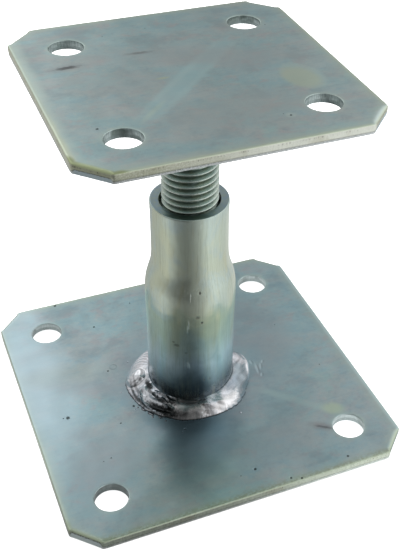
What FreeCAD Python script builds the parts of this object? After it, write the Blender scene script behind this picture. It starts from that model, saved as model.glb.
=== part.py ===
import FreeCAD, Part
import math
import os

from FreeCAD import Vector

# Height-adjustable timber post base, all zinc-plated steel, in millimetres.
# Frame: origin on the underside of the base plate, at its centre; +Z up along
# the tube; X and Y along the sides of the two square plates.

# ---------------------------------------------------------------- dimensions
# base plate
BASE_SIDE = 150.0        # side of the square
BASE_T = 4.0             # plate thickness
BASE_CUT = 11.0          # leg of each sheared-off corner
BASE_HOLE_PITCH = 109.0  # hole centre to hole centre, both ways
HOLE_D = 14.0            # punched screw holes, both plates

# top plate
TOP_SIDE = 120.0
TOP_T = 4.0
TOP_CUT = 11.5
TOP_HOLE_PITCH = 77.0
TOP_FACE_Z = 161.0       # height of the seat for the post, as drawn

# sheared and punched edges
CORNER_R = 1.6           # plan rounding where a cut corner meets a side
ROLL_R = 0.7             # rolled-over upper edge of the plate outline
HOLE_ROLL_R = 0.35       # rolled-over upper edge of a punched hole

# tube, swaged to a smaller diameter at the top and threaded inside there
TUBE_H = 100.0           # tube length, standing on the base plate
TUBE_R_LOW = 19.45       # outer radius of the lower part
TUBE_R_TOP = 16.6        # outer radius of the swaged part
RIM_R = 16.8             # slight upset at the sawn rim
RIM_EDGE = 0.5           # broken outer edge of the rim
BORE_R_LOW = 14.0        # plain bore in the lower part
MOUTH_R = 12.75          # relieved mouth of the thread
MOUTH_DEPTH = 2.0

# threaded rod M24 x 3, drawn as its plain major diameter
ROD_R = 12.0
ROD_PITCH = 3.0
ROD_LEN = 98.0           # length below the top plate
ROD_CHAMFER = 1.6
THREAD_CLEARANCE = 0.05  # radial running clearance of the plain stand-in
THREAD_BOTTOM_Z = 78.0   # lower end of the threaded length inside the tube

# weld beads
WELD_LEG_PLATE = 8.6     # base weld, leg along the plate
WELD_LEG_TUBE = 6.0      # base weld, leg up the tube
TOP_WELD_LEG = 4.5       # weld between rod and top plate, both legs

# travel of the top plate, from the height drawn here
TRAVEL_DOWN = 45.0       # fifteen turns
TRAVEL_UP = 18.0         # six turns

BASE_TOP_Z = BASE_T
RIM_Z = BASE_TOP_Z + TUBE_H
TOP_UNDER_Z = TOP_FACE_Z - TOP_T
ROD_BOTTOM_Z = TOP_UNDER_Z - ROD_LEN

os.makedirs("parts", exist_ok=True)


def wire_from(points):
    """Closed straight-sided wire through the points."""
    return Part.makePolygon(points + [points[0]])


def vertical_edges(shape):
    found = []
    for e in shape.Edges:
        a, b = e.Vertexes[0].Point, e.Vertexes[-1].Point
        if len(e.Vertexes) == 2 and abs(a.x - b.x) < 1e-6 and abs(a.y - b.y) < 1e-6:
            found.append(e)
    return found


def outline_edges_at(shape, z, half):
    """Edges of the outer outline that lie at height z."""
    found = []
    for e in shape.Edges:
        bb = e.BoundBox
        if abs(bb.ZMin - z) > 1e-4 or abs(bb.ZMax - z) > 1e-4:
            continue
        c = e.CenterOfMass
        if max(abs(c.x), abs(c.y)) > half * 0.8:
            found.append(e)
    return found


def plate(side, t, cut, pitch, z0):
    """Square plate with sheared-off corners and four punched holes."""
    h = side / 2.0
    pts = [
        Vector(-h + cut, -h, z0), Vector(h - cut, -h, z0),
        Vector(h, -h + cut, z0), Vector(h, h - cut, z0),
        Vector(h - cut, h, z0), Vector(-h + cut, h, z0),
        Vector(-h, h - cut, z0), Vector(-h, -h + cut, z0),
    ]
    body = Part.Face(wire_from(pts)).extrude(Vector(0, 0, t))
    body = body.makeFillet(CORNER_R, vertical_edges(body))
    body = body.makeFillet(ROLL_R, outline_edges_at(body, z0 + t, h))
    r = HOLE_D / 2.0
    for sx in (-1, 1):
        for sy in (-1, 1):
            x, y = sx * pitch / 2.0, sy * pitch / 2.0
            # punched hole with a small rolled-over entry edge, turned as one cutter
            z1 = z0 + t
            rr = HOLE_ROLL_R
            mid = Vector(r + rr * (1 - math.sqrt(0.5)), 0, z1 - rr * (1 - math.sqrt(0.5)))
            prof = Part.Wire([
                Part.makeLine(Vector(0, 0, z0 - 1), Vector(r, 0, z0 - 1)),
                Part.makeLine(Vector(r, 0, z0 - 1), Vector(r, 0, z1 - rr)),
                Part.Arc(Vector(r, 0, z1 - rr), mid, Vector(r + rr, 0, z1)).toShape(),
                Part.makeLine(Vector(r + rr, 0, z1), Vector(r + rr, 0, z1 + 1)),
                Part.makeLine(Vector(r + rr, 0, z1 + 1), Vector(0, 0, z1 + 1)),
                Part.makeLine(Vector(0, 0, z1 + 1), Vector(0, 0, z0 - 1)),
            ])
            cutter = Part.Face(prof).revolve(Vector(0, 0, 0), Vector(0, 0, 1), 360)
            cutter.translate(Vector(x, y, 0))
            body = body.cut(cutter)
    return body.Solids[0]


def revolve(edges):
    face = Part.Face(Part.Wire(edges))
    return face.revolve(Vector(0, 0, 0), Vector(0, 0, 1), 360)


def line(r1, z1, r2, z2):
    return Part.makeLine(Vector(r1, 0, z1), Vector(r2, 0, z2))


# ---------------------------------------------------------------- plates
base_plate = plate(BASE_SIDE, BASE_T, BASE_CUT, BASE_HOLE_PITCH, 0.0)
top_plate = plate(TOP_SIDE, TOP_T, TOP_CUT, TOP_HOLE_PITCH, TOP_UNDER_Z)

# ---------------------------------------------------------------- tube
# outer surface of the swage: a slight swelling below the shoulder, then a
# smooth S of two tangent arcs down to the smaller diameter
SWELL_FROM_Z = 38.0      # where the lower part starts to swell
SWELL_R = 19.93          # largest radius, just below the shoulder
SHOULDER_Z = 59.05       # start of the S
SHOULDER_DEG = 19.0      # steepest slope of the S, off the tube's axis
TURN_R = 18.35           # radius at which the S changes from convex to concave
half_tan = math.tan(math.radians(SHOULDER_DEG) / 2)
turn_z = SHOULDER_Z + (SWELL_R - TURN_R) / half_tan
neck_z = turn_z + (TURN_R - TUBE_R_TOP) / half_tan


def tangent_arc(r_vertical, z_vertical, r_other, z_other):
    """Arc between a point where it runs parallel to the axis and another."""
    dz, dr = z_other - z_vertical, r_other - r_vertical
    radius = (dz * dz + dr * dr) / (2 * abs(dr))
    mid_z = z_vertical + dz / 2
    sag = radius - math.sqrt(radius * radius - (dz / 2) ** 2)
    mid_r = r_vertical + math.copysign(sag, dr)
    ends = [Vector(r_vertical, 0, z_vertical), Vector(r_other, 0, z_other)]
    ends.sort(key=lambda p: p.z)
    return Part.Arc(ends[0], Vector(mid_r, 0, mid_z), ends[1]).toShape()


re = RIM_EDGE
rim_arc = Part.Arc(
    Vector(RIM_R, 0, RIM_Z - re),
    Vector(RIM_R - re * (1 - math.sqrt(0.5)), 0, RIM_Z - re * (1 - math.sqrt(0.5))),
    Vector(RIM_R - re, 0, RIM_Z),
).toShape()
BORE_R = ROD_R + THREAD_CLEARANCE
tube = revolve([
    line(BORE_R_LOW, BASE_TOP_Z, TUBE_R_LOW, BASE_TOP_Z),
    line(TUBE_R_LOW, BASE_TOP_Z, TUBE_R_LOW, SWELL_FROM_Z),
    line(TUBE_R_LOW, SWELL_FROM_Z, SWELL_R, SHOULDER_Z),
    tangent_arc(SWELL_R, SHOULDER_Z, TURN_R, turn_z),
    tangent_arc(TUBE_R_TOP, neck_z, TURN_R, turn_z),
    line(TUBE_R_TOP, neck_z, TUBE_R_TOP, RIM_Z - 5.0),
    line(TUBE_R_TOP, RIM_Z - 5.0, RIM_R, RIM_Z - re),
    rim_arc,
    line(RIM_R - re, RIM_Z, MOUTH_R, RIM_Z),
    line(MOUTH_R, RIM_Z, MOUTH_R, RIM_Z - MOUTH_DEPTH),
    line(MOUTH_R, RIM_Z - MOUTH_DEPTH, BORE_R, RIM_Z - MOUTH_DEPTH - (MOUTH_R - BORE_R)),
    line(BORE_R, RIM_Z - MOUTH_DEPTH - (MOUTH_R - BORE_R), BORE_R, THREAD_BOTTOM_Z),
    line(BORE_R, THREAD_BOTTOM_Z, BORE_R_LOW, 64.0),
    line(BORE_R_LOW, 64.0, BORE_R_LOW, BASE_TOP_Z),
])

# ---------------------------------------------------------------- rod
threaded_rod = revolve([
    line(0, ROD_BOTTOM_Z, ROD_R - ROD_CHAMFER, ROD_BOTTOM_Z),
    line(ROD_R - ROD_CHAMFER, ROD_BOTTOM_Z, ROD_R, ROD_BOTTOM_Z + ROD_CHAMFER),
    line(ROD_R, ROD_BOTTOM_Z + ROD_CHAMFER, ROD_R, TOP_UNDER_Z),
    line(ROD_R, TOP_UNDER_Z, 0, TOP_UNDER_Z),
    line(0, TOP_UNDER_Z, 0, ROD_BOTTOM_Z),
])

# ---------------------------------------------------------------- welds
r0, z0 = TUBE_R_LOW, BASE_TOP_Z
base_weld = revolve([
    line(r0, z0, r0 + WELD_LEG_PLATE, z0),
    Part.Arc(
        Vector(r0 + WELD_LEG_PLATE, 0, z0),
        Vector(r0 + WELD_LEG_PLATE * 0.56, 0, z0 + WELD_LEG_TUBE * 0.60),
        Vector(r0, 0, z0 + WELD_LEG_TUBE),
    ).toShape(),
    line(r0, z0 + WELD_LEG_TUBE, r0, z0),
])
r1, z1 = ROD_R, TOP_UNDER_Z
top_weld = revolve([
    line(r1, z1, r1 + TOP_WELD_LEG, z1),
    Part.Arc(
        Vector(r1 + TOP_WELD_LEG, 0, z1),
        Vector(r1 + TOP_WELD_LEG * 0.55, 0, z1 - TOP_WELD_LEG * 0.55),
        Vector(r1, 0, z1 - TOP_WELD_LEG),
    ).toShape(),
    line(r1, z1 - TOP_WELD_LEG, r1, z1),
])

PARTS = {
    "base_plate": base_plate,
    "tube": tube,
    "base_weld": base_weld,
    "threaded_rod": threaded_rod,
    "top_weld": top_weld,
    "top_plate": top_plate,
}

for name, shape in PARTS.items():
    solids = shape.Solids
    if len(solids) != 1 or not shape.isValid():
        raise RuntimeError(f"{name}: {len(solids)} solids, valid {shape.isValid()}")
    solid = solids[0]
    if solid.Volume < 0:
        solid.reverse()
    bb = solid.BoundBox
    print(
        f"{name:14s} volume {solid.Volume / 1000:8.3f} cm3  "
        f"x {bb.XMin:.2f}..{bb.XMax:.2f}  y {bb.YMin:.2f}..{bb.YMax:.2f}  "
        f"z {bb.ZMin:.2f}..{bb.ZMax:.2f}"
    )
    solid.exportStep(f"parts/{name}.step")

print("thread overlap at the top of the travel:",
      ROD_BOTTOM_Z + TRAVEL_UP, "to", RIM_Z - MOUTH_DEPTH)
print("room under the rod at the bottom of the travel:",
      ROD_BOTTOM_Z - TRAVEL_DOWN - BASE_TOP_Z)
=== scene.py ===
import math

import bpy
import numpy as np
from mathutils import Matrix, Vector, noise
from mathutils.geometry import tessellate_polygon


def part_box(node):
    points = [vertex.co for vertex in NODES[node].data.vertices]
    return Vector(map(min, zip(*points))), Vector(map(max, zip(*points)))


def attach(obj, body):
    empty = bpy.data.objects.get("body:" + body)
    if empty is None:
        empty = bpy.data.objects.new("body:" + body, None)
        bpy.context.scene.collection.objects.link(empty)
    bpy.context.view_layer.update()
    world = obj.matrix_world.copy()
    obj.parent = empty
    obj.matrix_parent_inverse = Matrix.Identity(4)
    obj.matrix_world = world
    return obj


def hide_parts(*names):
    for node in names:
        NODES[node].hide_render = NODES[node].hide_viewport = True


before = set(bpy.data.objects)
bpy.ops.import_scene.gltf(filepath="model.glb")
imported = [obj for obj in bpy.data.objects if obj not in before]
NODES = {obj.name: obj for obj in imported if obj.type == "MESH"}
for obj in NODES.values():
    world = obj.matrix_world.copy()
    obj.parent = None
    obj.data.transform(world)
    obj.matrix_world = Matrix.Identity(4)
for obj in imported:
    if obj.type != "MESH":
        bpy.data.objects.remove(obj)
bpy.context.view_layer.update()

MM = 0.001
scene = bpy.context.scene

# ------------------------------------------------------------------ sizes, mm
b_lo, b_hi = (np.array(v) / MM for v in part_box("base_plate"))
t_lo, t_hi = (np.array(v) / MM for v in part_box("top_plate"))
tube_lo, tube_hi = (np.array(v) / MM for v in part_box("tube"))
rod_lo, rod_hi = (np.array(v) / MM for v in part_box("threaded_rod"))
BASE_SIDE, BASE_T = b_hi[0] - b_lo[0], b_hi[2] - b_lo[2]
TOP_SIDE, TOP_T, TOP_Z0 = t_hi[0] - t_lo[0], t_hi[2] - t_lo[2], t_lo[2]
RIM_Z = tube_hi[2]
BASE_CUT, TOP_CUT = 11.0, 11.5
BASE_PITCH, TOP_PITCH, HOLE_R = 109.0, 77.0, 7.0
PITCH = 3.0


# ------------------------------------------------------------------ mesh help
def make_mesh(name, verts, faces, smooth=True, sharp_deg=None):
    me = bpy.data.meshes.new(name)
    me.from_pydata([(x * MM, y * MM, z * MM) for x, y, z in verts], [], faces)
    me.validate(verbose=False)
    me.update()
    if smooth:
        me.polygons.foreach_set("use_smooth", [True] * len(me.polygons))
    if sharp_deg:
        me.set_sharp_from_angle(angle=math.radians(sharp_deg))
    ob = bpy.data.objects.new(name, me)
    scene.collection.objects.link(ob)
    return ob


def smooth01(x):
    x = min(1.0, max(0.0, x))
    return x * x * (3 - 2 * x)


def n3(x, y, z):
    return noise.noise(Vector((x, y, z)))


def fractal(x, y, z, octaves=3):
    return noise.fractal(Vector((x, y, z)), 0.6, 2.1, octaves)


# ------------------------------------------------------------------ plates
def octagon(side, cut, r, step):
    """Points round a square with cut corners: x, y, normal, and 1 on a cut corner or 0 on a side."""
    h = side / 2
    c = [
        (-h + cut, -h), (h - cut, -h), (h, -h + cut), (h, h - cut),
        (h - cut, h), (-h + cut, h), (-h, h - cut), (-h, -h + cut),
    ]
    tl = r * math.tan(math.radians(22.5))
    out = []
    for k in range(8):
        a, b = np.array(c[k]), np.array(c[(k + 1) % 8])
        d = (b - a) / np.linalg.norm(b - a)
        n = np.array([d[1], -d[0]])
        p, q = a + d * tl, b - d * tl
        length = np.linalg.norm(q - p)
        m = max(2, int(round(length / step)))
        is_cut = float(k % 2)
        for i in range(m):
            s = i / m
            edge = min(s, 1 - s) * length
            w = is_cut if edge > 1.5 else 0.5 + (is_cut - 0.5) * edge / 1.5
            x, y = p + (q - p) * s
            out.append((x, y, n[0], n[1], w))
        # rounded corner between this edge and the next
        e = np.array(c[(k + 2) % 8]) - b
        e = e / np.linalg.norm(e)
        n2 = np.array([e[1], -e[0]])
        centre = q - n * r
        for i in range(5):
            t = i / 5
            nn = n * math.cos(math.radians(45) * t) + (n2 - n * (n2 @ n)) / np.linalg.norm(
                n2 - n * (n2 @ n)
            ) * math.sin(math.radians(45) * t)
            x, y = centre + nn * r
            out.append((x, y, nn[0], nn[1], 0.5))
    return out


def plate(name, side, t, cut, pitch, z0, seed):
    verts, faces = [], []
    pts = octagon(side, cut, 1.6, 1.25)
    n = len(pts)
    rings = None
    for i, (x, y, nx, ny, w) in enumerate(pts):
        wob = n3(x * 0.11 + seed, y * 0.11, 1.3)
        fine = n3(x * 0.55, y * 0.55 + seed, 4.1)
        finer = n3(x * 1.5 + seed, y * 1.5, 9.7)
        roll_w = 0.78 + 0.44 * min(w, 0.5) + 1.1 * smooth01(2 * w - 1) + 0.12 * wob + 0.06 * fine
        roll_h = 0.50 + 0.25 * min(w, 0.5) + 0.45 * smooth01(2 * w - 1) + 0.08 * wob
        ledge = 0.05 + 0.17 * w + 0.03 * fine
        zf = t * (0.27 + 0.23 * w) + 0.22 * wob + 0.14 * fine
        # the inner loop bows out a little, so that no three of its points are in line
        inner = (1 - 3.2 / (side / 2)) * (1 + 0.004 * (1 - (min(abs(x), abs(y)) / max(abs(x), abs(y))) ** 2))
        prof = [(-min(1.45 if w < 0.6 else 2.4, roll_w + 0.25), t)]
        for k in range(7):
            a = math.pi / 2 * k / 6
            prof.append((-roll_w * (1 - math.sin(a)), t - roll_h * (1 - math.cos(a))))
        prof += [
            (0.0, (t - roll_h) * 0.5 + zf * 0.5),
            (-0.01 - 0.02 * abs(fine), zf + 0.10),
            (-ledge, zf - 0.06),
            (-ledge - 0.03 + 0.05 * finer, zf * 0.72),
            (-ledge - 0.02 + 0.06 * fine, zf * 0.42),
            (-ledge - 0.03 + 0.05 * finer, zf * 0.18),
            (-ledge - 0.05, 0.10),
            (-ledge - 0.17, 0.0),
        ]
        verts.append((x * inner, y * inner, z0 + t))
        for d, z in prof:
            verts.append((x + nx * d, y + ny * d, z0 + z))
        verts.append((x * inner, y * inner, z0))
        rings = len(prof) + 2
    for i in range(n):
        j = (i + 1) % n
        for k in range(rings - 1):
            faces.append((i * rings + k, j * rings + k, j * rings + k + 1, i * rings + k + 1)[::-1])
    outer_top = [i * rings for i in range(n)]
    outer_bot = [i * rings + rings - 1 for i in range(n)]
    loops_top, loops_bot = [outer_top], [outer_bot]
    seg = 96
    for sx in (-1, 1):
        for sy in (-1, 1):
            cx, cy = sx * pitch / 2, sy * pitch / 2
            start = len(verts)
            for i in range(seg):
                a = 2 * math.pi * i / seg
                ca, sa = math.cos(a), math.sin(a)
                f1 = n3(ca * 3 + cx, sa * 3 + cy, 2.2 + seed)
                f2 = n3(ca * 9 + cx, sa * 9 + cy, 5.2 + seed)
                zf = t * 0.44 + 0.25 * f1
                rr = 0.42 + 0.06 * f1
                prof = [(HOLE_R + 1.8, t), (HOLE_R + rr + 0.12, t)]
                for k in range(5):
                    b = math.pi / 2 * k / 4
                    prof.append((HOLE_R + rr * (1 - math.sin(b)), t - rr * (1 - math.cos(b))))
                prof += [
                    (HOLE_R, t * 0.72),
                    (HOLE_R + 0.01, zf + 0.08),
                    (HOLE_R + 0.07 + 0.03 * f2, zf - 0.08),
                    (HOLE_R + 0.12 + 0.05 * f2, zf * 0.5),
                    (HOLE_R + 0.14, 0.08),
                    (HOLE_R + 0.24, 0.0),
                    (HOLE_R + 1.8, 0.0),
                ]
                for r, z in prof:
                    verts.append((cx + r * ca, cy + r * sa, z0 + z))
                m = len(prof)
            for i in range(seg):
                j = (i + 1) % seg
                for k in range(m - 1):
                    faces.append(
                        (start + i * m + k, start + j * m + k, start + j * m + k + 1, start + i * m + k + 1)
                    )
            loops_top.append([start + i * m for i in range(seg)])
            loops_bot.append([start + i * m + m - 1 for i in range(seg)])
    for loops, up in ((loops_top, True), (loops_bot, False)):
        flat = [v for loop in loops for v in loop]
        polys = [[Vector((verts[v][0], verts[v][1], 0)) for v in loop] for loop in loops]
        for tri in tessellate_polygon(polys):
            a, b, c = (flat[q] for q in tri)
            p, q, r = (np.array(verts[v][:2]) for v in (a, b, c))
            ccw = np.cross(q - p, r - p)
            if abs(ccw) < 1e-12:
                continue
            if (ccw > 0) != up:
                a, b, c = c, b, a
            faces.append((a, b, c))
    return make_mesh(name, verts, faces, sharp_deg=50)


# ------------------------------------------------------------------ thread
# one pitch of an M24 x 3 thread: (share of a pitch from the crest, radius)
THREAD = [
    (-0.50, 10.16), (-0.445, 10.20), (-0.40, 10.36), (-0.25, 11.10), (-0.10, 11.86),
    (-0.062, 11.96), (0.0, 12.0), (0.062, 11.96), (0.10, 11.86), (0.25, 11.10),
    (0.40, 10.36), (0.445, 10.20),
]
THREAD_PHASE = 0.0


def helix_rows(seg, z_lo, z_hi, radius):
    """Rows of vertex indices that run round a right-hand thread, with its verts. radius(z, r_male) gives the final radius."""
    per = len(THREAD)
    k0 = int(math.floor(z_lo / PITCH)) - 2
    k1 = int(math.ceil(z_hi / PITCH)) + 2
    cols = [(k + u, r) for k in range(k0, k1) for u, r in THREAD]
    verts, faces = [], []
    for i in range(seg):
        a = 2 * math.pi * i / seg
        for u, r in cols:
            z = PITCH * (u + i / seg + THREAD_PHASE)
            zc = min(z_hi, max(z_lo, z))
            rr = radius(zc, r, zc != z)
            verts.append((rr * math.cos(a), rr * math.sin(a), zc))
    nc = len(cols)
    for i in range(seg):
        for j in range(nc - 1):
            if i + 1 < seg:
                q = ((i + 1) * nc + j, (i + 1) * nc + j + 1)
            else:
                if j + 1 + per >= nc:
                    continue
                q = (j + per, j + per + 1)
            p = (i * nc + j, i * nc + j + 1)
            faces.append((p[0], q[0], q[1], p[1]))
    return verts, faces


def weld_and_clean(ob, dist=0.0004):
    """Merges doubled vertices and drops faces with no area. dist is in mm."""
    import bmesh

    bm = bmesh.new()
    bm.from_mesh(ob.data)
    bmesh.ops.remove_doubles(bm, verts=bm.verts, dist=dist * MM)
    bmesh.ops.dissolve_degenerate(bm, dist=dist * MM, edges=bm.edges)
    loose = [v for v in bm.verts if not v.link_faces]
    bmesh.ops.delete(bm, geom=loose, context="VERTS")
    holes = [e for e in bm.edges if e.is_boundary]
    if holes:
        bmesh.ops.holes_fill(bm, edges=holes, sides=0)
    bmesh.ops.recalc_face_normals(bm, faces=bm.faces)
    bm.to_mesh(ob.data)
    bm.free()
    ob.data.update()
    ob.data.polygons.foreach_set("use_smooth", [True] * len(ob.data.polygons))


def rod(name):
    z0, z1 = rod_lo[2], rod_hi[2]

    def radius(z, r, clamped):
        cap = min(10.05 + (z - z0) * 1.15, 10.05 + (z1 - z) * 1.15)
        return min(r, cap) if not clamped else 10.05

    verts, faces = helix_rows(128, z0, z1, radius)
    ob = make_mesh(name, verts, faces)
    weld_and_clean(ob)
    ob.data.set_sharp_from_angle(angle=math.radians(60))
    return ob


# ------------------------------------------------------------------ tube
def outer_profile():
    """(radius, z) up the outside of the tube, from the base plate to the rim."""
    zs = np.arange(4.0, RIM_Z - 0.55, 0.5)
    pts_z = [4, 20, 38, 45, 52, 57, 61, 64, 66, 68, 70, 72, 74, 76, 78.5, 82, 90, 97, 100, 102, 104]
    pts_r = [19.45, 19.42, 19.47, 19.62, 19.84, 19.92, 19.84, 19.55, 19.14, 18.56, 17.93, 17.38,
             16.98, 16.74, 16.62, 16.58, 16.58, 16.60, 16.68, 16.76, 16.82]
    coarse = np.interp(zs, pts_z, pts_r)
    k = np.exp(-0.5 * (np.arange(-6, 7) / 2.4) ** 2)
    k /= k.sum()
    soft = np.convolve(np.pad(coarse, 6, mode="edge"), k, "valid")
    return list(zip(soft, zs))


def tube(name):
    seg = 128
    out_dir = np.array([math.cos(math.radians(156)), math.sin(math.radians(156))])

    def ecc(z):
        return 0.30 * smooth01((z - 60) / 40.0)

    rings = []  # (radius, z, offset share, noise size)
    for r, z in outer_profile():
        rings.append((r, z, 1.0, 0.05 if z < RIM_Z - 8 else 0.02))
    r_rim = outer_profile()[-1][0]
    for k in range(1, 6):
        a = math.pi / 2 * k / 5
        rings.append((r_rim - 0.5 * (1 - math.cos(a)), RIM_Z - 0.5 + 0.5 * math.sin(a), 1.0, 0.02))
    rings += [
        (15.6, RIM_Z - 0.03, 1.0, 0.0), (14.4, RIM_Z - 0.05, 1.0, 0.0), (13.25, RIM_Z - 0.02, 1.0, 0.0),
        (12.98, RIM_Z - 0.08, 1.0, 0.0), (12.86, RIM_Z - 0.3, 1.0, 0.0),
        (12.80, RIM_Z - 1.2, 1.0, 0.0), (12.75, RIM_Z - 2.2, 0.8, 0.0), (12.35, RIM_Z - 2.75, 0.0, 0.0),
        (12.25, RIM_Z - 3.0, 0.0, 0.0),
    ]
    z_hi, z_lo = RIM_Z - 3.0, 78.0
    verts, faces = [], []
    for r, z, share, wob in rings:
        e = ecc(z) * share
        for i in range(seg):
            a = 2 * math.pi * i / seg
            rr = r
            if wob:
                rr += wob * n3(math.cos(a) * 1.1, math.sin(a) * 1.1, z * 0.045)
                rr += 0.010 * n3(math.cos(a) * 6, math.sin(a) * 6, z * 0.20)
            verts.append((rr * math.cos(a) + out_dir[0] * e, rr * math.sin(a) + out_dir[1] * e, z))
    nr = len(rings)
    for k in range(nr - 1):
        for i in range(seg):
            j = (i + 1) % seg
            faces.append((k * seg + i, k * seg + j, (k + 1) * seg + j, (k + 1) * seg + i))
    # female thread, a little larger than the rod's
    def radius(z, r, clamped):
        if clamped:
            return 12.25
        cone_top = 12.25 - (z_hi - z) * 1.2
        cone_bot = 12.25 - (z - z_lo) * 1.2
        return max(r + 0.10, cone_top, cone_bot)

    v2, f2 = helix_rows(seg, z_lo, z_hi, radius)
    base = len(verts)
    verts += v2
    faces += [tuple(base + q for q in f[::-1]) for f in f2]
    # plain bore under the thread, down to the open foot
    low = [(12.25, z_lo), (13.0, 72.5), (13.8, 66.5), (14.0, 62.0), (14.0, 30.0), (14.0, 4.0), (16.6, 4.0), (19.45, 4.0)]
    base = len(verts)
    for r, z in low:
        for i in range(seg):
            a = 2 * math.pi * i / seg
            rr = r if z > 4.0 or r < 19 else verts[i][0] / math.cos(a) if abs(math.cos(a)) > 0.5 else verts[i][1] / math.sin(a)
            verts.append((rr * math.cos(a), rr * math.sin(a), z))
    for k in range(len(low) - 1):
        for i in range(seg):
            j = (i + 1) % seg
            faces.append((base + k * seg + i, base + k * seg + j, base + (k + 1) * seg + j, base + (k + 1) * seg + i))
    ob = make_mesh(name, verts, faces)
    weld_and_clean(ob, 0.002)
    ob.data.set_sharp_from_angle(angle=math.radians(55))
    return ob


# ------------------------------------------------------------------ welds
def ring_table(table):
    a = np.array([p[0] for p in table], float)
    r = np.array([p[1] for p in table], float)
    order = np.argsort(a)
    a, r = a[order], r[order]
    a = np.concatenate([a - 360, a, a + 360])
    r = np.concatenate([r, r, r])
    return lambda deg: float(np.interp(deg % 360, a, r))


# outer toe of the base weld, degrees and mm from the tube's axis
TOE = ring_table([
    (35, 26.9), (60, 27.4), (85, 27.0), (105, 27.6), (126, 27.8), (147, 28.7), (160, 29.7), (168, 30.3), (177, 30.1),
    (191, 29.6), (203, 29.2), (216, 28.6), (229, 27.9), (243, 27.9), (256, 27.4), (270, 27.1), (283, 27.4),
    (297, 28.1), (311, 27.4), (327, 26.8), (342, 27.6), (357, 28.7), (10, 27.8), (20, 26.6),
])
# height of its upper toe on the tube, above the plate
CREST = ring_table([
    (0, 6.2), (30, 5.6), (60, 5.3), (90, 5.8), (120, 5.4), (145, 6.0), (158, 6.9), (172, 6.4), (184, 5.2), (205, 4.9),
    (220, 4.9), (240, 5.2), (260, 5.0), (285, 5.6), (310, 6.2), (335, 6.3),
])
# how far its face stands out of the straight line between the toes
BULGE = ring_table([
    (0, 1.5), (30, 1.1), (60, 0.9), (90, 1.1), (120, 1.1), (145, 1.5), (160, 1.2), (175, 0.7), (190, 0.3), (205, 0.2),
    (218, 0.1), (235, 0.7), (255, 0.9), (280, 1.0), (300, 1.3), (320, 1.5), (340, 1.6),
])
TUBE_IN = 19.38


def window(deg, centre, half, soft):
    d = abs(((deg - centre + 180) % 360) - 180)
    return smooth01((half + soft - d) / (2 * soft))


def ridge(x, y, z):
    v = 1 - 2.2 * abs(n3(x, y, z))
    return max(0.0, v) ** 1.6


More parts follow.
